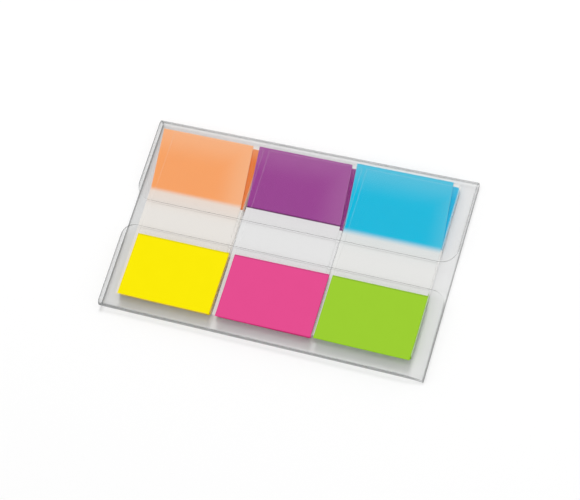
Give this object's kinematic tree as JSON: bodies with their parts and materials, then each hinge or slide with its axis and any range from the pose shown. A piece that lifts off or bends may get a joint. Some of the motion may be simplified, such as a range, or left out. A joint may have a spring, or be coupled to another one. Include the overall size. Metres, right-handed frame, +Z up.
{
  "type": "sticky index tabs",
  "caption": "Pocket pack of sticky index tabs: a clear sheet folded into a wallet, holding side-by-side pads of pop-up film flags with coloured ends.",
  "frame": {"origin": "middle of the folded wallet, on the surface that its back panel lies on", "axes": "+X along the long side, to the right as the flags are read; +Y from the near fold, under the pulled-out flags, to the far fold; +Z up out of the back panel"},
  "size_m": [0.0812, 0.049, 0.0033],
  "materials": {
    "clear_sheet": "clear glossy sheet, a little grey at its cut edges and folds",
    "frosted_film": "frosted film with a satin face, coloured at each end of the pad",
    "orange_film": "satin film, orange at one end and frosted clear at the other",
    "purple_film": "satin film, purple at one end and frosted clear at the other",
    "blue_film": "satin film, blue at one end and frosted clear at the other",
    "yellow_film": "satin film, yellow at one end and frosted clear at the other",
    "pink_film": "satin film, pink at one end and frosted clear at the other",
    "green_film": "satin film, green at one end and frosted clear at the other"
  },
  "bodies": {
    "root": {"holder": "clear_sheet", "pad_orange_yellow": "frosted_film", "pad_purple_pink": "frosted_film", "pad_blue_green": "frosted_film", "second_flag_orange": "orange_film", "second_flag_purple": "purple_film", "second_flag_blue": "blue_film", "front_flag_yellow": "yellow_film", "front_flag_pink": "pink_film", "front_flag_green": "green_film"}
  },
  "joints": []
}
